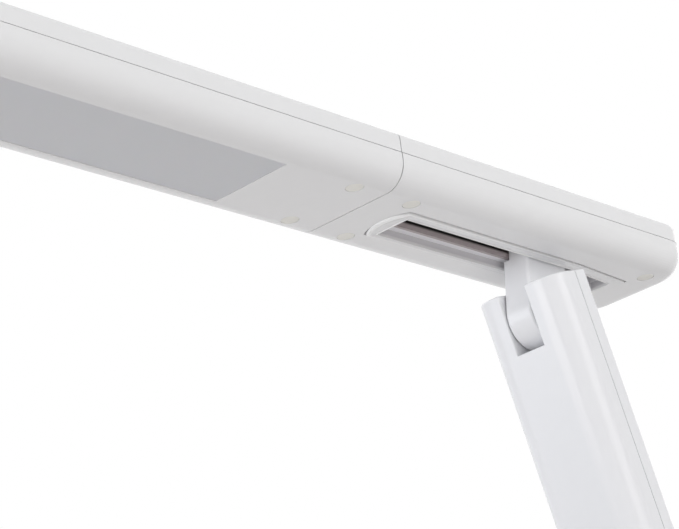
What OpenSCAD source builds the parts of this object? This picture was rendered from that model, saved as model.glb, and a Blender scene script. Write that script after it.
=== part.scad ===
// Folding LED desk lamp.
// Millimetres, +Z up. The origin is on the resting face, under the swivel axis.
// The light bar points to -Y and the tail of the head to +Y.

/* [Head] */
// Width of the head
head_w = 50; // [46:0.5:60]
// Thickness of the head
head_t = 18; // [17.5:0.1:20]
// Length of the light bar, from the seam to its tip
bar_len = 195; // [160:1:300]
// Length of the tail, from the seam to its rear end
tail_len = 157.5; // [157:0.5:175]
// Corner radius of the head, seen from above
head_corner = 13; // [13:0.5:18]
// Radius of the long lower edges
lower_edge = 8.7; // [8.5:0.1:10.3]
// Radius of the long upper edges
upper_edge = 2; // [1.5:0.1:4]
// Height of the line where the two covers meet
parting_h = 11; // [10.9:0.1:11.2]
// Wall of the head's covers
head_wall = 2; // [1.6:0.1:2.2]
// Floor of the head's lower covers
head_floor = 2.6; // [2.3:0.1:2.8]
// Gap of the seam between the light bar and the tail
seam_gap = 0.4; // [0.2:0.1:0.8]

/* [Light bar] */
// Width of the diffuser
diffuser_w = 31; // [26:0.5:32]
// Distance from the seam to the diffuser
diffuser_start = 44.5; // [30:0.5:60]
// Distance from the diffuser to the tip of the bar
diffuser_margin = 20; // [19:0.5:40]
// Thickness of the light guide
guide_t = 3; // [2.5:0.1:3.2]
// Number of light chips on each side
chip_count = 22; // [8:1:30]
// Radius of the twist shaft
twist_r = 4; // [3.2:0.1:4.2]
// Length of the twist bush
twist_bush_len = 8; // [5:0.5:9]

/* [Slot] */
// Distance from the seam to the slot
slot_start = 22.3; // [22:0.1:23.5]
// Length of the slot
slot_len = 111.2; // [110:0.1:112]
// Width of the slot at its front end
slot_front_w = 12.4; // [11.8:0.1:13]
// Width of the slot where its sides begin to close
slot_mid_w = 11.6; // [11.4:0.1:12]
// Width of the slot at its rear end
slot_rear_w = 7.3; // [6.8:0.1:9]
// Width of the trim beside the slot
trim_w = 4; // [3:0.1:5]
// Height that the trim stands proud of the underside
trim_proud = 0.5; // [0.1:0.1:1]
// Width of the inner slot in the rail
rail_slot_w = 7.2; // [6.6:0.1:7.2]
// Thickness of the rail's floor
rail_t = 2.4; // [2:0.1:2.5]
// Length of the carriage
carriage_len = 28; // [24:1:28]
// Width of the carriage
carriage_w = 16; // [13:0.5:17]

/* [Neck] */
// Thickness of the hinge plates
plate_t = 10.7; // [9:0.1:10.7]
// Radius of the round end of the hinge plates
plate_r = 10.75; // [9:0.05:10.75]
// Small radius along the rim of the hinge plates
plate_edge = 1; // [0.4:0.1:1.5]
// Thickness of the tongue that runs in the rail
tongue_t = 6; // [4:0.1:6]
// Backward lean of the neck in degrees
neck_lean = 10; // [0:1:12]
// Distance from the seam to the neck's pin
neck_y = 91.5; // [90:0.5:92]
// Height of the underside of the head above the neck's pin
neck_drop = 19.3; // [17:0.1:24]
// Height of the neck's shoulder above the underside
shoulder_h = 1.4; // [0.5:0.1:1.6]

/* [Arm] */
// Width of the arm
arm_w = 36.5; // [35:0.5:44]
// Thickness of the arm
arm_t = 21.5; // [20:0.1:22]
// Length of the arm from pin to pin
arm_len = 330; // [220:5:420]
// Forward lean of the arm in degrees
arm_lean = 15.43; // [5:0.01:25]
// Radius of the front edges of the arm
arm_edge = 10; // [7:0.1:10.5]
// Distance from the arm's front face to its seam
arm_seam = 14; // [13.5:0.1:15]
// Wall of the arm's shells
arm_wall = 2; // [1.6:0.1:2]
// Distance from a pin to the end of the arm
arm_end = 10.5; // [10:0.1:12]
// Width of the gap beside a hinge plate
fork_gap = 0.35; // [0.2:0.05:0.6]
// Depth of the gap under a hinge plate's round end
fork_depth_gap = 0.35; // [0.25:0.05:1]
// Thickness of the fork's inner walls
fork_wall = 1.6; // [1.2:0.1:1.8]
// Radius of the hinge pins
pin_r = 3; // [2.5:0.1:3.5]
// Thickness of the steel of the fork brackets
bracket_t = 2; // [1.5:0.1:2.2]

/* [Base] */
// Width of the base
base_w = 150; // [146:1:200]
// Length of the base
base_l = 200; // [196:1:260]
// Height of the base
base_h = 18; // [18:0.5:24]
// Distance from the swivel axis to the rear edge of the base
base_back = 40; // [38:1:60]
// Corner radius of the base
base_corner = 32; // [24:1:34]
// Radius of the base's upper edge
base_edge = 5; // [3:0.5:6]
// Wall of the base cover
base_wall = 2.2; // [1.8:0.1:2.5]
// Thickness of the foot pad
pad_t = 1.5; // [1:0.1:2]
// Thickness of the tray
tray_t = 2; // [1.6:0.1:2.2]
// Thickness of the steel weight
weight_t = 10; // [6:0.5:10]
// Radius of the power button
button_r = 7; // [5:0.5:8]
// Travel of the power button
button_travel = 0.8; // [0.4:0.1:0.8]

/* [Swivel] */
// Height of the lower pin above the top of the base
lower_pin_h = 18; // [18:0.5:30]
// Radius of the turntable
turntable_r = 28; // [24:0.5:34]
// Thickness of the turntable
turntable_t = 2.85; // [2.5:0.05:3]
// Radius of the swivel hub
hub_r = 14; // [13:0.1:15]
// Radius of the hub's threaded end
thread_r = 11; // [9.5:0.1:12]

/* [Fits] */
// Radial clearance of a shaft that turns in a hole
running_fit = 0.05; // [0.02:0.01:0.09]
// Clearance between pieces that are fixed together
seat_fit = 0.02; // [0.01:0.01:0.05]
// Clearance between faces that slide past each other
play = 0.3; // [0.15:0.05:0.3]
// Gap at the lines where covers meet
line_gap = 0.25; // [0.05:0.01:0.3]

/* [Hidden] */
$fn = 64;
white = [0.92, 0.92, 0.93];
shade_white = [0.84, 0.84, 0.85];
steel = [0.66, 0.67, 0.70];
board_green = [0.13, 0.36, 0.24];
far = 1000;
eps = 0.01;

// Places that follow from the driving sizes
lower_pin_z = base_h + lower_pin_h;
upper_pin_y = -arm_len * sin(arm_lean);
upper_pin_z = lower_pin_z + arm_len * cos(arm_lean);
head_y = upper_pin_y - neck_y;
head_z = upper_pin_z + neck_drop;
base_mid_y = base_back - base_l / 2;
fork_half = plate_t / 2 + fork_gap;
fork_depth = plate_r + fork_depth_gap;
cavity_top = head_t - head_wall;
slot_end = slot_start + slot_len;

// A radius r corner of a cross-section, from x = 0 out to x = r
module edge_profile(r, h, low, high) {
    intersection() {
        square([r, h]);
        union() {
            translate([-r, low]) square([2 * r, h - low - high]);
            translate([-r, 0]) square([2 * r - low, h - high]);
            translate([-r, low]) square([2 * r - high, h - low]);
            translate([r - low, low]) circle(low);
            translate([r - high, h - high]) circle(high);
        }
    }
}

// The whole cross-section of a slab with rounded long edges
module slab_profile(w, h, corner, low, high) {
    for (side = [0, 1])
        mirror([side, 0])
            translate([w / 2 - corner, 0])
                edge_profile(corner, h, low, high);
    translate([corner - w / 2, 0]) square([w - 2 * corner, h]);
}

// A slab from y = 0, cut flat there, to a rounded end at y = len
module half_slab(w, len, h, corner, low, high) {
    flat = w / 2 - corner;
    run = len - corner;
    translate([0, run, 0])
        rotate([90, 0, 0])
            linear_extrude(run)
                slab_profile(w, h, corner, low, high);
    for (side = [0, 1])
        mirror([side, 0, 0])
            translate([flat, run, 0])
                rotate_extrude(angle = 90)
                    edge_profile(corner, h, low, high);
    translate([-flat, run, 0])
        rotate([90, 0, 90])
            linear_extrude(2 * flat)
                edge_profile(corner, h, low, high);
}

// A slab with both ends rounded, centred on x and y
module slab(w, len, h, corner, low, high) {
    for (side = [0, 1])
        mirror([0, side, 0])
            half_slab(w, len / 2, h, corner, low, high);
}

// A rectangle with small rounded corners, centred
module rounded_box(w, len, r) {
    square([w, len - 2 * r], center = true);
    square([w - 2 * r, len], center = true);
    for (x = [-1, 1], y = [-1, 1])
        translate([x * (w / 2 - r), y * (len / 2 - r)]) circle(r);
}

// A box given by its lowest and highest corners
module span(low, high) {
    translate(low) cube(high - low);
}

// A cylinder along +X from x = from to x = to
module x_rod(r, from, to) {
    translate([from, 0, 0]) rotate([0, 90, 0]) cylinder(r = r, h = to - from);
}

// A cylinder along +Y from y = from to y = to
module y_rod(r, from, to) {
    translate([0, from, 0]) rotate([-90, 0, 0]) cylinder(r = r, h = to - from);
}

// A flat hinge plate: a round end about the pin and a straight shank above it
module hinge_plate(t, r, height, edge) {
    rotate([0, 90, 0])
        rotate_extrude()
            translate([0, -t / 2])
                edge_profile(r, t, edge, edge);
    linear_extrude(height) rounded_box(t, 2 * r, edge);
}

module in_arm() {
    translate([0, 0, lower_pin_z]) rotate([arm_lean, 0, 0]) children();
}

module in_head() {
    translate([0, head_y, head_z]) children();
}

// Base
tray_z = pad_t;
tray_top = tray_z + tray_t;
cover_bottom = 1.2;
cover_under = base_h - base_wall;
tray_boss_r = 5.5;
tray_boss_h = 3.5;
base_screw_r = 1.25;
base_screw_head_r = 3;
base_screw_head_h = 1.7;
cover_boss_r = 4.2;
base_screw_gap = 0.1;
corner_screw_in = 20;
side_screw_in = 9;
base_screw_at = [
    for (x = [-1, 1], y = [-1, 1])
        [x * (base_w / 2 - corner_screw_in), base_mid_y + y * (base_l / 2 - corner_screw_in)],
    for (x = [-1, 1]) [x * (base_w / 2 - side_screw_in), base_mid_y]
];
collar_t = 3;
bush_t = 3;
bush_bottom = 8;
bush_flange = 0.6;
panel_w = 96;
panel_l = 22;
panel_sink = 1;
panel_proud = 0.2;
panel_in = 26;
panel_y = base_mid_y - base_l / 2 + panel_in;
mark_in = 10;
mark_len = 6;
mark_line = 1;
mark_h = 0.12;
dot_r = 0.8;
dot_grow = 0.2;
dot_in = 15;
button_gap = 0.25;
button_proud = 0.9;
flange_w = 1.6;
flange_t = 1.5;
flange_top = cover_under - play;
switch_gap = 0.05;
board_z = 6;
board_t = 1.6;
board_w = 90;
board_l = 32;
post_r = 2.5;
jack_z = 8.5;
jack_nose_r = 3.9;
jack_bore_r = 2.9;
jack_len = 10;
jack_w = 9;
weight_side = 18;
weight_gap = 6;
weight_w = base_w - 2 * weight_side;
weight_front = panel_y + board_l / 2 + weight_gap;
weight_back = -hub_r - bush_t - collar_t - weight_gap;
weight_corner = 8;
weight_screw_r = 1.6;
weight_screw_in = 12;
weight_screw_head_r = 3;
weight_screw_head_h = 1.6;
post_in = 5;
switch_half = 3.1;
switch_h = 3.4;
plunger_r = 1.7;
chip_half = 3.5;
chip_h = 1.2;
part_half = [1.6, 0.8];
part_h = 0.9;
plug_half = [5, 3];
plug_h = 4;

module base_outline(inset, z, h, low, high) {
    translate([0, base_mid_y, z])
        slab(base_w - 2 * inset, base_l - 2 * inset, h,
             base_corner - inset, low, high);
}

module at_base_screws() {
    for (p = base_screw_at) translate([p[0], p[1], 0]) children();
}

module at_board_posts() {
    for (x = [-1, 1], y = [-1, 1])
        translate([x * (board_w / 2 - post_in), panel_y + y * (board_l / 2 - post_in), 0])
            children();
}

module at_weight_screws() {
    for (x = [-1, 1], y = [weight_front + weight_screw_in, weight_back - weight_screw_in])
        translate([x * (weight_w / 2 - weight_screw_in), y, 0])
            children();
}

module panel_shape(gap) {
    translate([0, panel_y])
        rounded_box(panel_w + 2 * gap, panel_l + 2 * gap, panel_l / 2 + gap - eps);
}

module base_cover() {
    color(white)
        difference() {
            union() {
                difference() {
                    base_outline(0, cover_bottom, base_h - cover_bottom, 0.8, base_edge);
                    base_outline(base_wall, 0, cover_under, 0.5, base_edge - base_wall);
                }
                translate([0, 0, bush_bottom])
                    cylinder(r = hub_r + bush_t + collar_t, h = base_h - bush_bottom - 1);
                at_base_screws()
                    translate([0, 0, pad_t + tray_boss_h + seat_fit])
                        cylinder(r = cover_boss_r,
                                 h = cover_under - pad_t - tray_boss_h);
            }
            translate([0, 0, bush_bottom - 1])
                cylinder(r = hub_r + bush_t + seat_fit, h = base_h);
            translate([0, 0, base_h - panel_sink])
                linear_extrude(base_h) panel_shape(line_gap);
            translate([0, panel_y, bush_bottom])
                cylinder(r = button_r + button_gap, h = base_h);
            translate([0, 0, jack_z])
                y_rod(jack_nose_r + line_gap, base_back - base_wall - 1, base_back + 1);
            at_base_screws()
                cylinder(r = base_screw_r + seat_fit, h = cover_under - 2);
        }
}

module base_tray() {
    color(shade_white)
        difference() {
            union() {
                base_outline(base_wall + line_gap, tray_z, tray_t, 0.3, 0.3);
                at_base_screws()
                    translate([0, 0, tray_z]) cylinder(r = tray_boss_r, h = tray_boss_h);
                at_board_posts()
                    translate([0, 0, tray_z]) cylinder(r = post_r, h = board_z - tray_z);
                span([-jack_w / 2, base_back - base_wall - jack_len, tray_z],
                     [jack_w / 2, base_back - base_wall - line_gap, jack_z - jack_w / 2]);
            }
            at_base_screws() {
                cylinder(r = base_screw_r + 0.3, h = far);
                cylinder(r = base_screw_head_r + 0.2,
                         h = tray_z + base_screw_head_h + base_screw_gap);
            }
            at_weight_screws() cylinder(r = weight_screw_r + seat_fit, h = far);
        }
}

module base_pad() {
    color([0.25, 0.25, 0.26])
        base_outline(5, 0, pad_t, 0.3, 0.3);
}

module base_screws() {
    color(steel)
        at_base_screws()
            translate([0, 0, tray_z + base_screw_gap]) {
                cylinder(r = base_screw_head_r, h = base_screw_head_h);
                cylinder(r = base_screw_r, h = cover_under - tray_boss_h - tray_z);
            }
}

module weight_plate() {
    mid = (weight_front + weight_back) / 2;
    color(steel)
        difference() {
            translate([0, mid, tray_top + seat_fit])
                linear_extrude(weight_t)
                    rounded_box(weight_w, weight_back - weight_front, weight_corner);
            at_weight_screws() cylinder(r = weight_screw_r + 0.3, h = far);
        }
}

module weight_screws() {
    top = tray_top + 2 * seat_fit + weight_t;
    color(steel)
        at_weight_screws() {
            translate([0, 0, tray_z + base_screw_gap])
                cylinder(r = weight_screw_r, h = top - tray_z);
            translate([0, 0, top])
                cylinder(r = weight_screw_head_r, h = weight_screw_head_h);
        }
}

// A boxed part on a circuit board, given by half its width and length
module board_part(half, h) {
    span([-half[0], -half[1], 0], [half[0], half[1], h]);
}

module control_board() {
    top = board_z + board_t;
    plunger_top = flange_top - flange_t - button_travel - switch_gap;
    color(board_green) {
        translate([0, panel_y, board_z + seat_fit])
            linear_extrude(board_t) rounded_box(board_w, board_l, 2);
        translate([0, panel_y, top]) {
            board_part([switch_half, switch_half], switch_h);
            cylinder(r = plunger_r, h = plunger_top - top);
        }
        translate([board_w * 0.22, panel_y, top]) board_part([chip_half, chip_half], chip_h);
        for (f = [-0.33, -0.27, 0.36])
            translate([board_w * f, panel_y + board_l / 8, top]) board_part(part_half, part_h);
        translate([-board_w * 0.4, panel_y - board_l / 6, top]) board_part(plug_half, plug_h);
    }
}

module touch_panel() {
    color([0.97, 0.97, 0.97])
        difference() {
            translate([0, 0, base_h - panel_sink])
                linear_extrude(panel_sink + panel_proud) panel_shape(0);
            translate([0, panel_y, 0])
                cylinder(r = button_r + button_gap, h = far);
        }
}

module dimmer_marks() {
    mark_x = panel_w / 2 - mark_in;
    color([0.45, 0.47, 0.50])
        translate([0, panel_y, base_h + panel_proud])
            linear_extrude(mark_h) {
                for (x = [-mark_x, mark_x])
                    translate([x, 0]) square([mark_len, mark_line], center = true);
                translate([mark_x, 0]) square([mark_line, mark_len], center = true);
                for (i = [0:2], side = [-1, 1])
                    translate([side * (dot_in + mark_len * i), 0])
                        circle(dot_r + dot_grow * i);
            }
}

module power_button() {
    top = base_h + button_proud;
    color(white)
        translate([0, panel_y, 0]) {
            translate([0, 0, flange_top - flange_t])
                cylinder(r = button_r + flange_w, h = flange_t);
            translate([0, 0, flange_top - eps])
                rotate_extrude()
                    edge_profile(button_r, top - flange_top + eps, 0.2, 0.8);
        }
}

module dc_jack() {
    rear = base_back - base_wall;
    color([0.12, 0.12, 0.13])
        translate([0, 0, jack_z])
            difference() {
                union() {
                    span([-jack_w / 2, rear - jack_len, -jack_w / 2 + seat_fit],
                         [jack_w / 2, rear - line_gap, jack_w / 2]);
                    y_rod(jack_nose_r, rear - 1, base_back - 0.3);
                }
                difference() {
                    y_rod(jack_bore_r, rear - jack_len + 1, far);
                    y_rod(1, 0, base_back - 1);
                }
            }
}

module swivel_bush() {
    bush_r = hub_r + bush_t;
    color([0.95, 0.95, 0.92])
        difference() {
            union() {
                translate([0, 0, bush_bottom])
                    cylinder(r = bush_r, h = base_h + bush_flange - bush_bottom);
                translate([0, 0, base_h + eps])
                    cylinder(r = bush_r + bush_t, h = bush_flange - eps);
            }
            cylinder(r = hub_r + running_fit, h = far);
        }
}

// Swivel
turntable_z = base_h + bush_flange + running_fit;
hub_wall = 3;
washer_t = 0.7;
nut_top = bush_bottom - running_fit - washer_t - 0.05;
nut_bottom = tray_top + 0.25;

module hinge_post() {
    color(white)
        difference() {
            union() {
                translate([0, 0, turntable_z])
                    rotate_extrude()
                        edge_profile(turntable_r, turntable_t, 0.3, 1.2);
                translate([0, 0, bush_bottom])
                    cylinder(r = hub_r, h = turntable_z - bush_bottom + 1);
                translate([0, 0, nut_bottom])
                    cylinder(r = thread_r, h = turntable_z - nut_bottom);
                translate([0, 0, lower_pin_z])
                    rotate([180, 0, 0])
                        hinge_plate(plate_t, plate_r, lower_pin_z - turntable_z - 1, plate_edge);
            }
            translate([0, 0, lower_pin_z])
                x_rod(pin_r + running_fit, -plate_t, plate_t);
            cylinder(r = thread_r - hub_wall, h = turntable_z - hub_wall / 2);
        }
}

module swivel_washer() {
    color(steel)
        translate([0, 0, nut_top + eps])
            difference() {
                cylinder(r = hub_r + bush_t, h = washer_t);
                translate([0, 0, -1]) cylinder(r = thread_r + seat_fit, h = 3);
            }
}

module swivel_nut() {
    color(steel)
        translate([0, 0, nut_bottom])
            difference() {
                cylinder(r = hub_r + bush_t, h = nut_top - nut_bottom, $fn = 6);
                translate([0, 0, -1]) cylinder(r = thread_r + seat_fit, h = far);
            }
}

// Arm
arm_back_edge = 2.5;
arm_front_y = -arm_t / 2;
arm_seam_y = arm_front_y + arm_seam;
arm_top = arm_len + arm_end;
arm_foot_r = max(arm_end, arm_t / 2);
washer_r = 6;
washer_gap = 0.05;
bracket_in = fork_half + fork_wall + 0.05;
bracket_out = bracket_in + bracket_t;
bracket_half = 6;
bracket_reach = 38;
web_front = arm_front_y + arm_wall + 1;
web_t = 1.8;
bracket_screw_r = 1.4;
bracket_screw_head = [2.6, 1.6];
bracket_screw_up = [8, 22];
bracket_boss_r = 3.5;
arm_boss_r = 3.6;
arm_back_boss_r = 4.2;
pin_head_r = 5;
pin_head_t = 2.7;
arm_screw_z = [for (f = [0.2, 0.5, 0.8]) f * arm_len];
arm_screw_r = 1.25;
arm_screw_head_r = 2.4;
arm_plug_r = 2.9;
arm_plug_t = 1;
arm_screw_head_h = 1.6;
arm_screw_sink = arm_plug_t + arm_screw_head_h + 0.1;
hinge_nut_r = 5.2;
lead_r = 0.85;
lead_in = 4;

module arm_section(inset) {
    translate([0, arm_front_y + inset])
        slab_profile(arm_w - 2 * inset, arm_t - 2 * inset, arm_edge + 1 - inset,
                     arm_edge - inset, max(arm_back_edge - inset, 0.4));
}

module fork_slot(half, depth) {
    span([-half, -far, arm_len - depth], [half, far, arm_len + far]);
    span([-half, -far, -far], [half, far, depth]);
}

module arm_solid() {
    difference() {
        intersection() {
            translate([0, 0, -arm_foot_r])
                linear_extrude(arm_top + arm_foot_r) arm_section(0);
            union() {
                span([-arm_w, -arm_w, 0], [arm_w, arm_w, arm_top + 1]);
                x_rod(arm_foot_r, -arm_w, arm_w);
            }
        }
        difference() {
            intersection() {
                translate([0, 0, arm_wall - arm_foot_r])
                    linear_extrude(arm_top + arm_foot_r - 2 * arm_wall)
                        arm_section(arm_wall);
                union() {
                    span([-arm_w, -arm_w, 0], [arm_w, arm_w, arm_top]);
                    x_rod(arm_foot_r - arm_wall, -arm_w, arm_w);
                }
            }
            fork_slot(fork_half + fork_wall, fork_depth + fork_wall);
        }
        fork_slot(fork_half, fork_depth);
        for (z = [0, arm_len])
            translate([0, 0, z])
                x_rod(washer_r + 0.2, -fork_half - fork_wall - eps, fork_half + fork_wall + eps);
    }
}

module at_bracket_screws() {
    for (up = bracket_screw_up)
        for (z = [fork_depth + up, arm_len - fork_depth - up])
            translate([0, 0, z]) children();
}

module arm_front_shell() {
    color(white)
        in_arm()
            difference() {
                union() {
                    intersection() {
                        arm_solid();
                        span([-far, -far, -far], [far, arm_seam_y - line_gap / 2, far]);
                    }
                    for (z = arm_screw_z)
                        translate([0, 0, z])
                            y_rod(arm_boss_r, arm_front_y + arm_wall - 0.5,
                                  arm_seam_y - line_gap / 2);
                    at_bracket_screws()
                        y_rod(bracket_boss_r, arm_front_y + arm_wall - 0.5, web_front - seat_fit);
                }
                for (z = arm_screw_z)
                    translate([0, 0, z])
                        y_rod(arm_screw_r + seat_fit, arm_front_y + arm_wall, far);
                at_bracket_screws()
                    y_rod(bracket_screw_r + seat_fit, arm_front_y + arm_wall - 0.8, far);
            }
}

module arm_back_shell() {
    back_y = arm_t / 2;
    color(white)
        in_arm()
            difference() {
                union() {
                    intersection() {
                        arm_solid();
                        span([-far, arm_seam_y + line_gap / 2, -far], [far, far, far]);
                    }
                    for (z = arm_screw_z)
                        translate([0, 0, z])
                            y_rod(arm_back_boss_r, arm_seam_y + line_gap / 2, back_y - 1);
                }
                for (z = arm_screw_z)
                    translate([0, 0, z]) {
                        y_rod(arm_screw_r + 0.3, -far, far);
                        y_rod(arm_plug_r + seat_fit, back_y - arm_screw_sink, far);
                    }
            }
}

module arm_screws() {
    seat_y = arm_t / 2 - arm_screw_sink;
    color(steel)
        in_arm()
            for (z = arm_screw_z)
                translate([0, 0, z]) {
                    y_rod(arm_screw_head_r, seat_y, seat_y + arm_screw_head_h);
                    y_rod(arm_screw_r, arm_front_y + arm_wall + 1, seat_y + 1);
                }
}

module arm_plugs() {
    color(shade_white)
        in_arm()
            for (z = arm_screw_z)
                translate([0, 0, z])
                    y_rod(arm_plug_r, arm_t / 2 - arm_plug_t, arm_t / 2 - 0.05);
}

// The fork bracket of the arm's lower end; the upper one is its mirror image
module fork_bracket() {
    difference() {
        union() {
            for (side = [0, 1])
                mirror([side, 0, 0]) {
                    span([bracket_in, web_front, 0],
                         [bracket_out, bracket_half, bracket_reach]);
                    x_rod(bracket_half, bracket_in, bracket_out);
                }
            span([-bracket_out, web_front, fork_depth + fork_wall + 0.5],
                 [bracket_out, web_front + web_t, bracket_reach]);
        }
        x_rod(pin_r + seat_fit, -far, far);
        for (up = bracket_screw_up)
            translate([0, 0, fork_depth + up]) y_rod(bracket_screw_r + 0.2, -far, far);
    }
}

module lower_bracket() {
    color(steel) in_arm() fork_bracket();
}

module upper_bracket() {
    color(steel)
        in_arm() translate([0, 0, arm_len]) mirror([0, 0, 1]) fork_bracket();
}

module bracket_screws() {
    top = web_front + web_t + seat_fit;
    color(steel)
        in_arm()
            at_bracket_screws() {
                y_rod(bracket_screw_r, arm_front_y + arm_wall - 0.6, top + 0.5);
                y_rod(bracket_screw_head[0], top, top + bracket_screw_head[1]);
            }
}

module hinge_pin() {
    x_rod(pin_r, -bracket_out - 1, bracket_out + pin_head_t);
    x_rod(pin_head_r, -bracket_out - pin_head_t, -bracket_out - seat_fit);
}

module lower_hinge_pin() {
    color(steel) in_arm() hinge_pin();
}

module upper_hinge_pin() {
    color(steel) in_arm() translate([0, 0, arm_len]) hinge_pin();
}

module hinge_nuts() {
    color(steel)
        in_arm()
            for (z = [0, arm_len])
                translate([bracket_out + seat_fit, 0, z])
                    rotate([0, 90, 0])
                        difference() {
                            cylinder(r = hinge_nut_r, h = pin_head_t - 0.2, $fn = 6);
                            translate([0, 0, -1]) cylinder(r = pin_r + seat_fit, h = far);
                        }
}

module friction_washers() {
    for (side = [0, 1])
        mirror([side, 0, 0])
            difference() {
                x_rod(washer_r, plate_t / 2 + washer_gap, bracket_in - seat_fit);
                x_rod(pin_r + seat_fit, -far, far);
            }
}

module lower_friction_washers() {
    color([0.3, 0.3, 0.32]) in_arm() friction_washers();
}

module upper_friction_washers() {
    color([0.3, 0.3, 0.32])
        in_arm() translate([0, 0, arm_len]) friction_washers();
}

module arm_lead() {
    lead_x = arm_w / 2 - arm_wall - lead_r - 0.1;
    color([0.85, 0.85, 0.86])
        in_arm()
            for (i = [0, 1])
                translate([lead_x, arm_seam_y - 1.2 - i * (2 * lead_r + 0.05),
                           bracket_reach + lead_in])
                    cylinder(r = lead_r, h = arm_len - 2 * (bracket_reach + lead_in));
}

// Neck and slide
tongue_top = 9.5;
rail_top_z = head_floor + rail_t;
carriage_z = rail_top_z + 0.1;
carriage_top = 10.7;
lip_z = carriage_top + 0.6;
lip_t = 1.5;
lip_in = 5;
channel_half = carriage_w / 2 + play;
channel_t = 2;
carriage_y = neck_y + (neck_drop + 8) * tan(neck_lean);
carriage_screw_gap = 5;
carriage_screw_r = 1.25;
carriage_screw_z = 8;
spring_w = 2.2;
spring_t = 0.25;
spring_pad = 3;
neck_over = 20;
tongue_root = 3;

module in_neck() {
    in_head() translate([0, neck_y, -neck_drop]) children();
}

module neck() {
    color(white)
        in_neck()
            difference() {
                union() {
                    intersection() {
                        rotate([-neck_lean, 0, 0])
                            hinge_plate(plate_t, plate_r, neck_drop + neck_over, plate_edge);
                        span([-far, -far, -far], [far, far, neck_drop + shoulder_h]);
                    }
                    intersection() {
                        rotate([-neck_lean, 0, 0])
                            linear_extrude(neck_drop + neck_over)
                                rounded_box(tongue_t, 2 * plate_r, plate_edge);
                        span([-far, -far, neck_drop - tongue_root],
                             [far, far, neck_drop + tongue_top]);
                    }
                }
                x_rod(pin_r + running_fit, -far, far);
                translate([0, carriage_y - neck_y, neck_drop])
                    for (y = [-1, 1])
                        translate([0, y * carriage_screw_gap, carriage_screw_z])
                            x_rod(carriage_screw_r + seat_fit, -far, far);
            }
}

module slide_carriage() {
    color([0.80, 0.80, 0.82])
        in_head()
            difference() {
                span([-carriage_w / 2, carriage_y - carriage_len / 2, carriage_z],
                     [carriage_w / 2, carriage_y + carriage_len / 2, carriage_top]);
                intersection() {
                    translate([0, neck_y, -neck_drop])
                        rotate([-neck_lean, 0, 0])
                            linear_extrude(neck_drop + neck_over)
                                rounded_box(tongue_t + 2 * seat_fit, 2 * (plate_r + seat_fit),
                                            plate_edge);
                    span([-far, -far, 0], [far, far, tongue_top + seat_fit]);
                }
                for (y = [-1, 1])
                    translate([0, carriage_y + y * carriage_screw_gap, carriage_screw_z])
                        x_rod(carriage_screw_r + seat_fit, -far, far);
            }
}

module carriage_screws() {
    color(steel)
        in_head()
            for (y = [-1, 1])
                translate([0, carriage_y + y * carriage_screw_gap, carriage_screw_z])
                    x_rod(carriage_screw_r, -carriage_w / 2 + play, carriage_w / 2 - play);
}

module slide_springs() {
    reach = carriage_len / 2 - 2;
    color(steel)
        in_head()
            for (side = [0, 1])
                mirror([side, 0, 0])
                    translate([channel_half - spring_w - 0.6, carriage_y, carriage_top]) {
                        span([0, -reach, 0], [spring_w, reach, spring_t]);
                        span([0, -spring_pad, spring_t - 0.05],
                             [spring_w, spring_pad, lip_z - carriage_top - 0.05]);
                    }
}

// Head
boss_r = 4.2;
top_boss_r = 3.4;
plug_r = 3;
plug_t = 1.4;
plug_sink = 0.05;
head_screw_r = 1.2;
head_screw_head_r = 2.4;
head_screw_head_t = 1.8;
shaft_z = head_t / 2;
head_screw_len = 12.5;
tail_front_screw = [10.5, 13.8];
tail_rear_screw = [11.2, 16.5];
bar_rear_screw = [10.8, 12.8];
bar_tip_screw = [11.2, 12];
tail_screw_at = [
    for (x = [-1, 1]) [x * (head_w / 2 - tail_front_screw[0]), tail_front_screw[1]],
    for (x = [-1, 1]) [x * (head_w / 2 - tail_rear_screw[0]), tail_len - tail_rear_screw[1]]
];
bar_screw_at = [
    for (x = [-1, 1]) [x * (head_w / 2 - bar_rear_screw[0]), -bar_rear_screw[1]],
    for (x = [-1, 1]) [x * (head_w / 2 - bar_tip_screw[0]), -bar_len + bar_tip_screw[1]]
];
lip_wall = 0.8;
lip_gap = 0.15;
lip_drop = 1.4;
lip_start = 12;
boss_z = 1.2;
trim_bulge = 3.3;
kink_gap = 5;
rail_over = [4, 2.4];
rail_front = slot_start - rail_over[0];
rail_back = slot_end + rail_over[1];
rib_in = 12;
rib_t = 1.6;
rail_half = 14;
rail_slot_in = [0.7, 1.9];
board_seat_h = 6;
driver_in = 8.4;
driver_x = head_w / 2 - driver_in;
driver_w = 7;
driver_t = 1.2;
driver_over = 5;
driver_post_r = 1.8;
driver_post_in = [9.7, 17.5];
driver_ends = [slot_start + driver_post_in[0], slot_end - driver_post_in[1]];
driver_run = driver_ends[1] - driver_ends[0];
driver_coil = [2.6, 3];
driver_chip = [2.2, 2.5];
driver_plug = [2.4, 4];
driver_cap_r = 2.6;
driver_part_h = [3, 1.4, 5, 3.8];
twist_bush_t = 1.6;
twist_flange_r = shaft_z - head_floor - 0.1;
twist_nut_t = 3.5;

module head_end(len, inset, z, h, low, high) {
    translate([0, seam_gap / 2 + inset, z])
        half_slab(head_w - 2 * inset, len - seam_gap / 2 - 2 * inset, h,
                  head_corner - inset, low, high);
}

module head_outer(len) {
    head_end(len, 0, 0, head_t, lower_edge, upper_edge);
}

module head_cavity(len) {
    head_end(len, head_wall, head_floor, cavity_top - head_floor,
             lower_edge - head_wall, max(upper_edge - head_wall, 0.5));
}

// A hollow cover of the head between two heights
module cover_part(len, low, high) {
    difference() {
        intersection() {
            head_outer(len);
            span([-far, -far, low], [far, far, high]);
        }
        head_cavity(len);
    }
}

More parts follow.
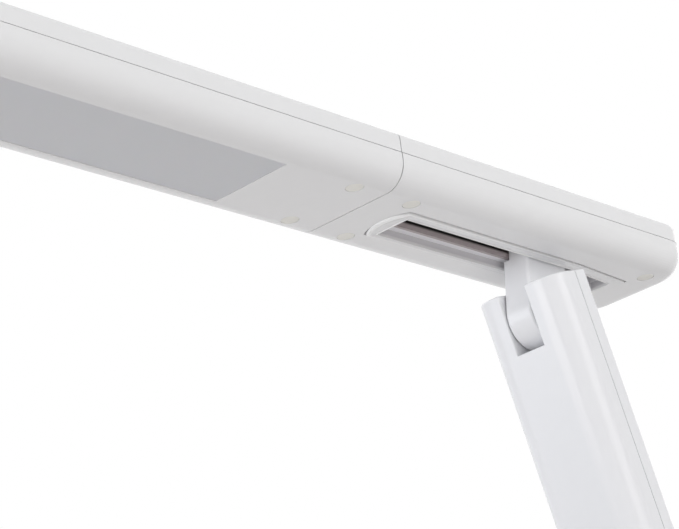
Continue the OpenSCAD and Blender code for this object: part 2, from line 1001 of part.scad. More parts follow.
// The thin lip under a top cover that closes the line between the covers
module cover_lip(len) {
    gap = head_wall + lip_gap;
    over = head_wall - 0.5;
    intersection() {
        difference() {
            head_end(len, gap, head_floor, cavity_top - head_floor + 0.5, lower_edge - gap, 0.5);
            head_end(len, gap + lip_wall, head_floor, cavity_top, lower_edge - gap - lip_wall, 0.5);
        }
        span([-far, seam_gap + lip_start, parting_h - lip_drop], [far, far, parting_h + 1]);
    }
    intersection() {
        difference() {
            head_end(len, over, head_floor, cavity_top - head_floor, lower_edge - over, 0.5);
            head_end(len, gap + lip_wall, head_floor, cavity_top, lower_edge - gap - lip_wall, 0.5);
        }
        span([-far, seam_gap + lip_start, parting_h + line_gap / 2], [far, far, parting_h + 1]);
    }
}

module at_points(points) {
    for (p = points) translate([p[0], p[1], 0]) children();
}

module screw_boss() {
    translate([0, 0, boss_z])
        cylinder(r = boss_r, h = parting_h - line_gap / 2 - boss_z);
}

module screw_hole() {
    cylinder(r = head_screw_r + 0.2, h = far);
    translate([0, 0, -1]) cylinder(r = plug_r + seat_fit, h = plug_t + plug_sink + 1 + seat_fit);
    cylinder(r = head_screw_head_r + 0.2, h = plug_t + head_screw_head_t + 0.1);
}

module top_boss() {
    difference() {
        translate([0, 0, parting_h + line_gap / 2])
            cylinder(r = top_boss_r, h = cavity_top - parting_h + 0.5);
        cylinder(r = head_screw_r + seat_fit, h = head_screw_len + 2);
    }
}

module head_screw() {
    translate([0, 0, plug_t + plug_sink + 0.05]) {
        cylinder(r = head_screw_head_r, h = head_screw_head_t);
        cylinder(r = head_screw_r, h = head_screw_len);
    }
}

module screw_plug() {
    translate([0, 0, plug_sink])
        rotate_extrude() edge_profile(plug_r, plug_t, 0.35, 0.1);
}

module shaft_hole(r) {
    translate([0, 0, shaft_z]) y_rod(r, -head_wall * 2, head_wall * 2);
}

// Outline of the slot, seen from below, widened by grow
module slot_shape(grow) {
    kink = neck_y + plate_r + kink_gap;
    front = slot_front_w / 2 + grow;
    mid = slot_mid_w / 2 + grow;
    rear = slot_rear_w / 2 + grow;
    polygon([
        [-front, slot_start - grow], [front, slot_start - grow],
        [mid, kink], [rear, slot_end + grow],
        [-rear, slot_end + grow], [-mid, kink]
    ]);
}

// Outline of the trim around the slot: its front end bulges forward
module trim_shape(grow) {
    half = slot_front_w / 2 + trim_w + grow;
    bow = (half * half + trim_bulge * trim_bulge) / (2 * trim_bulge);
    front = slot_start - trim_w - grow;
    slot_shape(trim_w + grow);
    intersection() {
        translate([0, front + bow - trim_bulge]) circle(bow);
        translate([-half, front - trim_bulge - 1]) square([2 * half, trim_bulge + 1 + eps]);
    }
}

module tail_bottom_cover() {
    color(white)
        in_head()
            difference() {
                union() {
                    cover_part(tail_len, -1, parting_h - line_gap / 2);
                    at_points(tail_screw_at) screw_boss();
                    for (y = driver_ends)
                        translate([driver_x, y, head_floor - 0.3])
                            cylinder(r = driver_post_r, h = board_seat_h - head_floor + 0.3);
                }
                at_points(tail_screw_at) screw_hole();
                translate([0, 0, -1]) linear_extrude(head_floor + 2) trim_shape(line_gap);
                shaft_hole(twist_r + twist_bush_t + seat_fit);
            }
}

module tail_top_cover() {
    color(white)
        in_head()
            difference() {
                union() {
                    cover_part(tail_len, parting_h + line_gap / 2, far);
                    cover_lip(tail_len);
                    at_points(tail_screw_at) top_boss();
                    for (y = [rail_front + rib_in, rail_back - rib_in])
                        span([-channel_half, y, lip_z + lip_t + 0.1],
                             [channel_half, y + rib_t, cavity_top + 0.5]);
                }
                shaft_hole(twist_r + twist_bush_t + seat_fit);
            }
}

module slot_bezel() {
    color(white)
        in_head()
            translate([0, 0, -trim_proud])
                linear_extrude(head_floor + trim_proud - seat_fit)
                    difference() {
                        trim_shape(0);
                        slot_shape(0);
                    }
}

module slide_rail() {
    slot_front = slot_start + rail_slot_in[0];
    slot_back = slot_end - rail_slot_in[1];
    color([0.80, 0.80, 0.82])
        in_head() {
            difference() {
                span([-rail_half, rail_front, head_floor], [rail_half, rail_back, rail_top_z]);
                span([-rail_slot_w / 2, slot_front, 0], [rail_slot_w / 2, slot_back, head_t]);
            }
            for (side = [0, 1])
                mirror([side, 0, 0]) {
                    span([channel_half, rail_front, rail_top_z - eps],
                         [channel_half + channel_t, rail_back, lip_z + lip_t]);
                    span([lip_in, rail_front, lip_z],
                         [channel_half + eps, rail_back, lip_z + lip_t]);
                }
            for (y = [rail_front, rail_back - channel_t])
                span([-channel_half - eps, y, rail_top_z - eps],
                     [channel_half + eps, y + channel_t, lip_z + eps]);
        }
}

module driver_board() {
    color(board_green)
        in_head()
            translate([driver_x, driver_ends[0], board_seat_h + seat_fit]) {
                span([-driver_w / 2, -driver_over, 0],
                     [driver_w / 2, driver_run + driver_over, driver_t]);
                translate([0, 0.18 * driver_run, driver_t - eps])
                    board_part(driver_coil, driver_part_h[0]);
                translate([0, 0.32 * driver_run, driver_t - eps])
                    board_part(driver_chip, driver_part_h[1]);
                translate([0, 0.45 * driver_run, driver_t - eps])
                    cylinder(r = driver_cap_r, h = driver_part_h[2]);
                translate([0, 0.86 * driver_run, driver_t - eps])
                    board_part(driver_plug, driver_part_h[3]);
            }
}

module tail_screws() {
    color(steel) in_head() at_points(tail_screw_at) head_screw();
}

module tail_plugs() {
    color([0.80, 0.80, 0.78]) in_head() at_points(tail_screw_at) screw_plug();
}

module twist_bush() {
    color([0.95, 0.95, 0.92])
        in_head()
            translate([0, 0, shaft_z])
                difference() {
                    union() {
                        y_rod(twist_r + twist_bush_t, seam_gap / 2, twist_bush_len);
                        y_rod(twist_flange_r, seam_gap / 2 + head_wall + seat_fit,
                              twist_bush_len - 2);
                    }
                    y_rod(twist_r + running_fit, -far, far);
                }
}

module twist_shaft() {
    inner = -seam_gap / 2 - head_wall;
    color(steel)
        in_head()
            translate([0, 0, shaft_z])
                difference() {
                    union() {
                        y_rod(twist_r, inner - 2, twist_bush_len + twist_nut_t + 0.5);
                        y_rod(twist_flange_r, inner - 2, inner - seat_fit);
                    }
                    y_rod(twist_r - 1.5, -far, far);
                }
}

module twist_nut() {
    color(steel)
        in_head()
            translate([0, 0, shaft_z])
                difference() {
                    translate([0, twist_bush_len + running_fit, 0])
                        rotate([-90, 0, 0])
                            cylinder(r = twist_flange_r, h = twist_nut_t, $fn = 6);
                    y_rod(twist_r + seat_fit, -far, far);
                }
}

// Light bar
window_half = diffuser_w / 2;
window_back = -diffuser_start;
window_front = -bar_len + diffuser_margin;
flange_side = 1.6;
guide_z = head_floor + 0.8;
sheet_z = guide_z + guide_t;
sheet_t = 0.3;
spreader_z = sheet_z + sheet_t + 0.05;
spreader_t = 1.5;
guide_half = window_half + flange_side - 0.1;
flange_half = window_half + flange_side + line_gap;
chip_t = 1.3;
chip_half_len = 1.2;
strip_t = 0.8;
strip_up = 1.1;
bar_rib_half = 12;
strip_in = guide_half + chip_t + 0.1;
spreader_half = strip_in + strip_t + 0.75;

module flip_bar() {
    in_head() mirror([0, 1, 0]) children();
}

module bar_bottom_cover() {
    color(white)
        difference() {
            union() {
                flip_bar() cover_part(bar_len, -1, parting_h - line_gap / 2);
                in_head() at_points(bar_screw_at) screw_boss();
            }
            in_head() {
                at_points(bar_screw_at) screw_hole();
                span([-window_half, window_front, -1], [window_half, window_back, head_floor + 1]);
                span([-flange_half, window_front - flange_side - line_gap, head_floor],
                     [flange_half, window_back + flange_side + line_gap, sheet_z]);
                shaft_hole(twist_r + seat_fit);
            }
        }
}

module bar_top_cover() {
    color(white)
        difference() {
            union() {
                flip_bar() {
                    cover_part(bar_len, parting_h + line_gap / 2, far);
                    cover_lip(bar_len);
                }
                in_head() {
                    at_points(bar_screw_at) top_boss();
                    for (f = [0.05, 0.35, 0.65, 0.95])
                        translate([0, window_back + f * (window_front - window_back), 0])
                            span([-bar_rib_half, -rib_t / 2, spreader_z + spreader_t + 0.05],
                                 [bar_rib_half, rib_t / 2, cavity_top + 0.5]);
                }
            }
            in_head() shaft_hole(twist_r + seat_fit);
        }
}

module diffuser() {
    color([0.72, 0.71, 0.74])
        in_head() {
            span([-window_half + 0.1, window_front + 0.1, 0.15],
                 [window_half - 0.1, window_back - 0.1, head_floor + 0.1]);
            span([-window_half - flange_side, window_front - flange_side, head_floor + seat_fit],
                 [window_half + flange_side, window_back + flange_side, guide_z - seat_fit]);
        }
}

module light_guide() {
    color([0.88, 0.90, 0.92])
        in_head()
            span([-guide_half, window_front - 1, guide_z],
                 [guide_half, window_back + 1, guide_z + guide_t - seat_fit]);
}

module reflector_sheet() {
    color([0.97, 0.97, 0.97])
        in_head()
            span([-guide_half, window_front - 1, sheet_z],
                 [guide_half, window_back + 1, sheet_z + sheet_t]);
}

module led_strips() {
    color([0.93, 0.93, 0.90])
        in_head()
            for (side = [0, 1])
                mirror([side, 0, 0])
                    span([strip_in, window_front, guide_z + strip_up],
                         [strip_in + strip_t, window_back, guide_z + guide_t]);
}

module led_chips() {
    pitch = (window_back - window_front) / chip_count;
    color([0.95, 0.90, 0.55])
        in_head()
            for (side = [0, 1], i = [0 : chip_count - 1])
                mirror([side, 0, 0])
                    translate([strip_in - chip_t, window_front + (i + 0.5) * pitch, 0])
                        span([0, -chip_half_len, guide_z + strip_up + 0.2],
                             [chip_t - seat_fit, chip_half_len, guide_z + guide_t - 0.2]);
}

module heat_spreader() {
    color(steel)
        in_head() {
            span([-spreader_half, window_front - 1, spreader_z],
                 [spreader_half, window_back + 1, spreader_z + spreader_t]);
            for (side = [0, 1])
                mirror([side, 0, 0])
                    span([strip_in + strip_t + seat_fit, window_front - 1, guide_z + strip_up],
                         [spreader_half, window_back + 1, spreader_z + eps]);
        }
}

module bar_screws() {
    color(steel) in_head() at_points(bar_screw_at) head_screw();
}

module bar_plugs() {
    color([0.80, 0.80, 0.78]) in_head() at_points(bar_screw_at) screw_plug();
}

base_cover();
base_tray();
weight_plate();
base_pad();
base_screws();
weight_screws();
control_board();
touch_panel();
dimmer_marks();
power_button();
dc_jack();
swivel_bush();
hinge_post();
swivel_washer();
swivel_nut();
arm_front_shell();
arm_back_shell();
lower_bracket();
upper_bracket();
lower_hinge_pin();
upper_hinge_pin();
lower_friction_washers();
upper_friction_washers();
hinge_nuts();
bracket_screws();
arm_screws();
arm_plugs();
arm_lead();
neck();
slide_carriage();
carriage_screws();
slide_springs();
tail_bottom_cover();
tail_top_cover();
slot_bezel();
slide_rail();
driver_board();
tail_screws();
tail_plugs();
twist_bush();
twist_shaft();
twist_nut();
bar_bottom_cover();
bar_top_cover();
diffuser();
light_guide();
reflector_sheet();
led_strips();
led_chips();
heat_spreader();
bar_screws();
bar_plugs();
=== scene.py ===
"""Looks of the folding LED desk lamp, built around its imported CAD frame."""

import math

import bmesh
import bpy
from mathutils import Matrix, Vector


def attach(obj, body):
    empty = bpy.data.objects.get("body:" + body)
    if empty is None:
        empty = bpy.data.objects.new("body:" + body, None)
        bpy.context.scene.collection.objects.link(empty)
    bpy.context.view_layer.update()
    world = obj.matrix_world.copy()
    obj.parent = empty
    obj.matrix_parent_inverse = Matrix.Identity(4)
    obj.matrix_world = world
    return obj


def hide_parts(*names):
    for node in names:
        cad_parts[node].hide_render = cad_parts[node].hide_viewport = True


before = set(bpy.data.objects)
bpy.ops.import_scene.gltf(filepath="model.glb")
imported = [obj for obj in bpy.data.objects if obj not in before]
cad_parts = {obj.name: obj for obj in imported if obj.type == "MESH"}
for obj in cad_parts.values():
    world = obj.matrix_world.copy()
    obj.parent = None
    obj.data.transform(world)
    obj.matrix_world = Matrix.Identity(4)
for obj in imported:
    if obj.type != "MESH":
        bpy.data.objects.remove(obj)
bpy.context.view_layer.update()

MM = 0.001
# The head at rest: its seam along Y, and its underside along Z
HEAD_Y = -0.1793001
HEAD_Z = 0.3734055

# Camera, at the photograph's viewing angle
CAMERA_AT = (0.47316, -0.74731, 0.06364)
CAMERA_RIGHT = (0.72125, 0.67954, -0.13427)
CAMERA_UP = (0.34537, -0.18477, 0.92010)
CAMERA_LENS = 132.99
CAMERA_CLIP = (0.01, 20)
SENSOR_WIDTH = 36


def make_camera():
    data = bpy.data.cameras.new("camera")
    data.lens = CAMERA_LENS
    data.sensor_width = SENSOR_WIDTH
    data.sensor_fit = "HORIZONTAL"
    data.clip_start, data.clip_end = CAMERA_CLIP
    camera = bpy.data.objects.new("camera", data)
    bpy.context.scene.collection.objects.link(camera)
    right, up = Vector(CAMERA_RIGHT).normalized(), Vector(CAMERA_UP).normalized()
    back = right.cross(up)
    turn = Matrix((right, up, back)).transposed()
    camera.matrix_world = Matrix.Translation(CAMERA_AT) @ turn.to_4x4()
    bpy.context.scene.camera = camera


make_camera()

# Finishes
NOISE_RANGE = (0.3, 0.7)
CLOUD_DETAIL = 4
GRAIN_DETAIL = 2
PLASTIC_IOR = 1.46
# The colour sockets of a Mix node, whose names repeat for its other types
MIX_FIRST, MIX_SECOND, MIX_RESULT = 6, 7, 2


class Nodes:
    """A material's node tree, with short calls to add and link its nodes."""

    def __init__(self, name):
        self.material = bpy.data.materials.new(name)
        self.material.use_nodes = True
        self.tree = self.material.node_tree
        self.shader = self.tree.nodes["Principled BSDF"]
        self.place = self.add("ShaderNodeTexCoord").outputs["Object"]

    def add(self, kind, **values):
        node = self.tree.nodes.new(kind)
        for key, value in values.items():
            setattr(node, key, value)
        return node

    def link(self, source, target):
        self.tree.links.new(source, target)

    def stretched(self, scale):
        node = self.add("ShaderNodeMapping")
        node.inputs["Scale"].default_value = scale
        self.link(self.place, node.inputs["Vector"])
        return node.outputs["Vector"]

    def noise(self, scale, detail, vector=None):
        node = self.add("ShaderNodeTexNoise")
        node.inputs["Scale"].default_value = scale
        node.inputs["Detail"].default_value = detail
        self.link(vector or self.place, node.inputs["Vector"])
        return node.outputs["Fac"]

    def ramp(self, value, colors):
        """Two colours over a noise's range."""
        node = self.add("ShaderNodeValToRGB")
        for element, at, color in zip(node.color_ramp.elements, NOISE_RANGE, colors):
            element.position = at
            element.color = (*color, 1)
        self.link(value, node.inputs["Fac"])
        return node.outputs["Color"]

    def spread(self, value, low, high, source=NOISE_RANGE):
        """A value's source range mapped onto low to high."""
        node = self.add("ShaderNodeMapRange")
        node.inputs["From Min"].default_value = source[0]
        node.inputs["From Max"].default_value = source[1]
        node.inputs["To Min"].default_value = low
        node.inputs["To Max"].default_value = high
        self.link(value, node.inputs["Value"])
        return node.outputs["Result"]

    def axis(self, index):
        node = self.add("ShaderNodeSeparateXYZ")
        self.link(self.place, node.inputs["Vector"])
        return node.outputs[index]

    def mix(self, factor, first, color):
        """From a linked colour at 0 to a plain one at 1."""
        node = self.add("ShaderNodeMix", data_type="RGBA")
        self.link(factor, node.inputs["Factor"])
        self.link(first, node.inputs[MIX_FIRST])
        node.inputs[MIX_SECOND].default_value = (*color, 1)
        return node.outputs[MIX_RESULT]

    def product(self, first, second):
        node = self.add("ShaderNodeMath", operation="MULTIPLY")
        self.link(first, node.inputs[0])
        self.link(second, node.inputs[1])
        return node.outputs[0]

    def bump(self, height, distance):
        node = self.add("ShaderNodeBump")
        node.inputs["Distance"].default_value = distance
        self.link(height, node.inputs["Height"])
        self.link(node.outputs["Normal"], self.shader.inputs["Normal"])


def shade(color, factor):
    return tuple(min(c * factor, 1) for c in color)


def finish(name, color, rough, vary=0.02, cloud=60, grain=1800, depth=0.002,
           metallic=0, stretch=None, **sockets):
    """A moulded, rubber or metal finish: cloudy colour, uneven gloss and a fine grain,
    whose depth is in millimetres."""
    nodes = Nodes(name)
    where = nodes.stretched(stretch) if stretch else None
    cloudy = nodes.noise(cloud, CLOUD_DETAIL)
    grainy = nodes.noise(grain, GRAIN_DETAIL, where)
    shades = (shade(color, 1 - vary), shade(color, 1 + vary))
    nodes.link(nodes.ramp(cloudy, shades), nodes.shader.inputs["Base Color"])
    nodes.link(nodes.spread(cloudy, *rough), nodes.shader.inputs["Roughness"])
    nodes.bump(grainy, depth * MM)
    nodes.shader.inputs["Metallic"].default_value = metallic
    nodes.shader.inputs["IOR"].default_value = PLASTIC_IOR
    for socket, value in sockets.items():
        nodes.shader.inputs[socket.replace("_", " ")].default_value = value
    return nodes


WHITE = (0.88, 0.88, 0.885)
HINGE_WHITE = (0.888, 0.891, 0.911)
RAIL_PALE = (0.93, 0.92, 0.94)
# The next three colours are painted shade in the rail's channel: inside it, up its walls and in
# its depth
RAIL_INNER_SHADE = (0.5, 0.44, 0.445)
RAIL_WALL_SHADE = (0.75, 0.665, 0.67)
RAIL_DEEP_SHADE = (0.035, 0.028, 0.026)
# The next two colours are a painted highlight on the trim's proud lips and painted shade on its
# inner walls
TRIM_LIP_HIGHLIGHT = (0.95, 0.95, 0.95)
INNER_WALL_SHADE = (0.68, 0.67, 0.69)
# Where the rail's painted shade stops beside the slide and behind its travel
SHADE_SIDE = (4.7 * MM, 4.9 * MM)
SHADE_END = (HEAD_Y + 93 * MM, HEAD_Y + 101 * MM)
# Heights over the head's underside, in millimetres, between which a painted shade comes in, or
# the trim lips' painted highlight gives way to plain white
WALL_SHADE_HEIGHTS = (2.65, 2.9)
DEEP_SHADE_HEIGHTS = (4.2, 5)
LIP_HIGHLIGHT_HEIGHTS = (-0.5, -0.4)
TRIM_SHADE_HEIGHTS = (0.1, 0.7)
BOARD_GREEN = (0.03, 0.14, 0.07)
TRACK_SCALE = 300
TRACK_COLORS = {
    "Color1": (0.03, 0.15, 0.075),
    "Color2": (0.025, 0.12, 0.06),
    "Mortar": (0.05, 0.22, 0.11),
}


def above(nodes, low, high):
    """0 below and 1 above two heights, in millimetres over the head's underside."""
    return nodes.spread(nodes.axis(2), 0, 1, (HEAD_Z + low * MM, HEAD_Z + high * MM))


def paint_shading(nodes, color, *amounts):
    """Paints shade or a highlight over a finish: another colour by the product of the amounts.
    """
    amount = amounts[0]
    for other in amounts[1:]:
        amount = nodes.product(amount, other)
    clean = nodes.shader.inputs["Base Color"].links[0].from_socket
    nodes.link(nodes.mix(amount, clean, color), nodes.shader.inputs["Base Color"])


def rail_finish():
    """Pale moulded channel with painted shade inside it ahead of the neck, darkest in its depth.
    """
    nodes = finish("rail_plastic", RAIL_PALE, (0.35, 0.5))
    beside = nodes.add("ShaderNodeMath", operation="ABSOLUTE")
    nodes.link(nodes.axis(0), beside.inputs[0])
    inner = nodes.spread(beside.outputs[0], 1, 0, SHADE_SIDE)
    ahead = nodes.spread(nodes.axis(1), 1, 0, SHADE_END)
    # Painted shade: darker inside the channel ahead of the neck, browner up its walls, dark in
    # its depth
    paint_shading(nodes, RAIL_INNER_SHADE, inner, ahead)
    paint_shading(nodes, RAIL_WALL_SHADE, above(nodes, *WALL_SHADE_HEIGHTS), ahead)
    paint_shading(nodes, RAIL_DEEP_SHADE, above(nodes, *DEEP_SHADE_HEIGHTS), ahead)
    return nodes


def trim_finish():
    """The shell's white, with a painted highlight on the proud lips and painted shade on the
    inner walls.
    """
    nodes = finish("slot_trim", TRIM_LIP_HIGHLIGHT, (0.24, 0.26), vary=0.004, cloud=240)
    # Plain white above the lips leaves the painted highlight on them; painted shade greys the
    # inner walls
    paint_shading(nodes, WHITE, above(nodes, *LIP_HIGHLIGHT_HEIGHTS))
    paint_shading(nodes, INNER_WALL_SHADE, above(nodes, *TRIM_SHADE_HEIGHTS))
    return nodes


def board_finish():
    """Green solder mask with the faint pattern of its tracks."""
    nodes = finish("board", BOARD_GREEN, (0.3, 0.45), vary=0.1)
    tracks = nodes.add("ShaderNodeTexBrick")
    tracks.inputs["Scale"].default_value = TRACK_SCALE
    for socket, color in TRACK_COLORS.items():
        tracks.inputs[socket].default_value = (*color, 1)
    nodes.link(nodes.place, tracks.inputs["Vector"])
    nodes.link(tracks.outputs["Color"], nodes.shader.inputs["Base Color"])
    return nodes


def make_materials():
    made = {
        "white_shell": finish("white_shell", WHITE, (0.26, 0.27), vary=0.004, cloud=240),
        "white_hinge": finish("white_hinge", HINGE_WHITE, (0.21, 0.22), vary=0.004,
                              cloud=240),
        "tray_plastic": finish("tray_plastic", (0.68, 0.68, 0.69), (0.5, 0.62),
                               grain=2600, depth=0.012),
        "pad_rubber": finish("pad_rubber", (0.055, 0.055, 0.058), (0.62, 0.8),
                             vary=0.12, grain=3000, depth=0.02),
        "steel_plate": finish("steel_plate", (0.52, 0.53, 0.55), (0.32, 0.48),
                              metallic=1, cloud=150, depth=0.006),
        "screw_steel": finish("screw_steel", (0.56, 0.56, 0.58), (0.28, 0.4),
                              metallic=1, cloud=400),
        "spring_steel": finish("spring_steel", (0.42, 0.42, 0.44), (0.3, 0.42), metallic=1),
        "aluminium_sheet": finish("aluminium_sheet", (0.72, 0.73, 0.75), (0.3, 0.45),
                                  metallic=1, stretch=(1, 0.03, 1), depth=0.004),
        "plug_plastic": finish("plug_plastic", (0.90, 0.89, 0.84), (0.5, 0.65),
                               vary=0.03, grain=2600, depth=0.02),
        "bush_acetal": finish("bush_acetal", (0.78, 0.78, 0.74), (0.38, 0.5)),
        "washer_plastic": finish("washer_plastic", (0.05, 0.05, 0.055), (0.45, 0.6)),
        "rail_plastic": rail_finish(),
        "board": board_finish(),
        "jack_plastic": finish("jack_plastic", (0.02, 0.02, 0.022), (0.35, 0.5), vary=0.1),
        "panel_gloss": finish("panel_gloss", (0.80, 0.80, 0.81), (0.06, 0.12), vary=0.006,
                              depth=0.0005),
        "mark_print": finish("mark_print", (0.20, 0.21, 0.23), (0.4, 0.5), vary=0.05),
        "diffuser_opal": finish("diffuser_opal", (0.70, 0.685, 0.705), (0.4, 0.48),
                                vary=0.01, cloud=25, depth=0.003, Subsurface_Weight=0.08),
        "guide_acrylic": finish("guide_acrylic", (0.86, 0.88, 0.90), (0.05, 0.12),
                                vary=0.01, Transmission_Weight=0.6),
        "sheet_white": finish("sheet_white", (0.86, 0.86, 0.86), (0.4, 0.5), vary=0.01),
        "strip_white": finish("strip_white", (0.78, 0.78, 0.74), (0.4, 0.5), vary=0.02),
        "chip_yellow": finish("chip_yellow", (0.78, 0.66, 0.16), (0.25, 0.4), vary=0.04),
        "lead_sheath": finish("lead_sheath", (0.66, 0.66, 0.67), (0.4, 0.55)),
    }
    return {slot: nodes.material for slot, nodes in made.items()}


MATERIALS = make_materials()


def dress_nodes():
    """Gives each CAD node the finish of its slot in the record."""
    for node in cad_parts.values():
        for slot in node.material_slots:
            slot.material = MATERIALS[slot.material.name.split(".")[0]]


dress_nodes()


def add_piece(name, data, body, *replaced):
    piece = bpy.data.objects.new(name, data)
    bpy.context.scene.collection.objects.link(piece)
    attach(piece, body)
    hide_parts(*replaced)
    return piece


SHARP = math.radians(32)


def shade_smoothly(mesh):
    """Smooth faces, with a hard line only where two faces meet at more than SHARP."""
    for face in mesh.faces:
        face.smooth = True
    for edge in mesh.edges:
        edge.smooth = edge.is_manifold and edge.calc_face_angle(0) < SHARP


def even_normals(piece):
    modifier = piece.modifiers.new("even_normals", "WEIGHTED_NORMAL")
    modifier.keep_sharp = True


# Rounded edges on copies of the CAD shells, where the photograph shows them
WELD = 1e-6
FLAT = math.radians(0.5)
CREASE = math.radians(40)
ROUND_STEPS = 3


def soften(node, name, body, slot, chosen, width, steps=ROUND_STEPS):
    """A copy of a CAD node with its chosen sharp edges rounded."""
    mesh = bmesh.new()
    mesh.from_mesh(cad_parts[node].data)
    bmesh.ops.remove_doubles(mesh, verts=mesh.verts, dist=WELD)
    bmesh.ops.dissolve_limit(mesh, angle_limit=FLAT, verts=mesh.verts, edges=mesh.edges)
    sharp = [edge for edge in mesh.edges
             if edge.is_manifold and edge.calc_face_angle(0) > CREASE
             and all(chosen(vert.co) for vert in edge.verts)]
    bmesh.ops.bevel(mesh, geom=sharp, offset=width * MM, offset_type="OFFSET",
                    segments=steps, profile=0.5, affect="EDGES", clamp_overlap=True)
    shade_smoothly(mesh)
    data = bpy.data.meshes.new(name)
    mesh.to_mesh(data)
    mesh.free()
    if "custom_normal" in data.attributes:
        data.attributes.remove(data.attributes["custom_normal"])
    data.materials.clear()
    data.materials.append(MATERIALS[slot])
    piece = add_piece(name, data, body, node)
    even_normals(piece)


LOWER_PIN_Z = 36 * MM
ARM_LEAN = math.radians(15.43)
ARM_LEN = 330 * MM
ARM_TOP = 340.5 * MM
ARM_FACE = 10.75 * MM
FORK_HALF = 5.7 * MM
WASHER_ROOM = 6.4 * MM
NEAR = 0.03 * MM
FORK_ROUND = 0.55
FROM_ARM = Matrix.Translation((0, 0, LOWER_PIN_Z)) @ Matrix.Rotation(ARM_LEAN, 4, "X")
INTO_ARM = FROM_ARM.inverted()


def on_arm_edge(place):
    """The arm's top rim and the outer edges of its two forks."""
    x, y, z = INTO_ARM @ place
    if z > ARM_TOP - NEAR:
        return True
    from_pin = min(math.hypot(y, z), math.hypot(y, z - ARM_LEN))
    beside_fork = abs(abs(x) - FORK_HALF) < NEAR and from_pin > WASHER_ROOM
    on_face = abs(abs(y) - ARM_FACE) < NEAR or z < NEAR
    return beside_fork and on_face


soften("arm_front_shell", "arm_front", "arm", "white_hinge", on_arm_edge, FORK_ROUND)
soften("arm_back_shell", "arm_back", "arm", "white_hinge", on_arm_edge, FORK_ROUND)

WINDOW_HALF = 15.5 * MM
WINDOW_BACK = HEAD_Y - 44.5 * MM
WINDOW_FRONT = HEAD_Y - 175 * MM
WINDOW_ROUND = 0.18
WINDOW_STEPS = 2


def on_window_edge(place):
    """The rim of the opening that holds the diffuser."""
    on_side = abs(abs(place.x) - WINDOW_HALF) < NEAR
    on_end = min(abs(place.y - WINDOW_BACK), abs(place.y - WINDOW_FRONT)) < NEAR
    return abs(place.z - HEAD_Z) < NEAR and (on_side or on_end)


soften("bar_bottom_cover", "bar_bottom", "light_bar", "white_shell", on_window_edge,
       WINDOW_ROUND, WINDOW_STEPS)

# The trim round the slot: a raised lip whose front arc lies over the cover. Its sizes are
# in millimetres, from the head's own axes.
SLOT_HALF = (6.2, 5.8, 3.65)
SLOT_Y = (22.3, 107.25, 133.5)
SLOT_WIDEN = (1, 1, 0.3)
SLOT_AHEAD = 1.5
SLOT_CORNER = 0.35
TRIM_WIDTH = 4
TRIM_BULGE = 3.3
TRIM_CORNER = 0.8
# The slot's front and rear corners; the two kinks between them stay plain
ROUND_CORNERS = (0, 2, 3, 5)
ARC_STEPS = 28
CORNER_STEPS = 6
TRIM_TOP = 2.58
FLAT_Z = -0.28
# Each step of the outer lip: growth, reach over the cover, height
OUTER_LIP = ((-0.3, 0, TRIM_TOP), (-0.3, 0, 0.06), (-0.3, 0.62, 0.02), (-0.32, 0.62, -0.25),
             (-0.38, 0.56, -0.52), (-0.5, 0.44, -0.68), (-0.7, 0.26, -0.77), (-0.95, 0.04, -0.8),
             (-1.25, -0.2, -0.72), (-1.7, -0.6, FLAT_Z))
# Each step of the inner lip: growth, height
INNER_LIP = ((0.36, FLAT_Z), (0.34, -0.6), (0.28, -0.7), (0.18, -0.74), (0.08, -0.7),
             (0.01, -0.58), (0, -0.1), (0, TRIM_TOP))
LIP_FADE = 9


def rounded(points, radius):
    """The outline with the slot's corners swapped for short curves."""
    smooth = []
    for index, point in enumerate(points):
        if index not in ROUND_CORNERS:
            smooth.append(point)
            continue
        at = Vector(point)
        ends = [at + (Vector(points[other % len(points)]) - at).normalized() * radius
                for other in (index - 1, index + 1)]
        for step in range(CORNER_STEPS + 1):
            t = step / CORNER_STEPS
            smooth.append((1 - t) ** 2 * ends[0] + 2 * t * (1 - t) * at + t * t * ends[1])
    return smooth


def slot_sides(grow, widen=(0, 0, 0), ahead=0):
    """The slot's six corners, grown all round, widened on its left and moved ahead."""
    front, mid, rear = (half + grow for half in SLOT_HALF)
    start, kink, end = SLOT_Y[0] - grow - ahead, SLOT_Y[1], SLOT_Y[2] + grow - ahead
    return [(front, start), (mid, kink), (rear, end), (-rear - widen[2], end),
            (-mid - widen[1], kink), (-front - widen[0], start)]


def slot_outline(grow):
    return rounded(slot_sides(grow, SLOT_WIDEN, SLOT_AHEAD), SLOT_CORNER + grow)


def trim_outline(grow, over):
    """The trim's outline; over is how far its front arc reaches past the CAD's."""
    sides = slot_sides(TRIM_WIDTH + grow)
    half, front = sides[0]
    bulge = TRIM_BULGE + over
    bow = (half * half + bulge * bulge) / (2 * bulge)
    turn = math.asin(half / bow)
    arc = []
    for step in range(1, ARC_STEPS):
        angle = turn * (2 * step / ARC_STEPS - 1)
        arc.append((bow * math.sin(angle), front - bulge + bow * (1 - math.cos(angle))))
    return rounded(sides + arc, TRIM_CORNER + grow / 2)


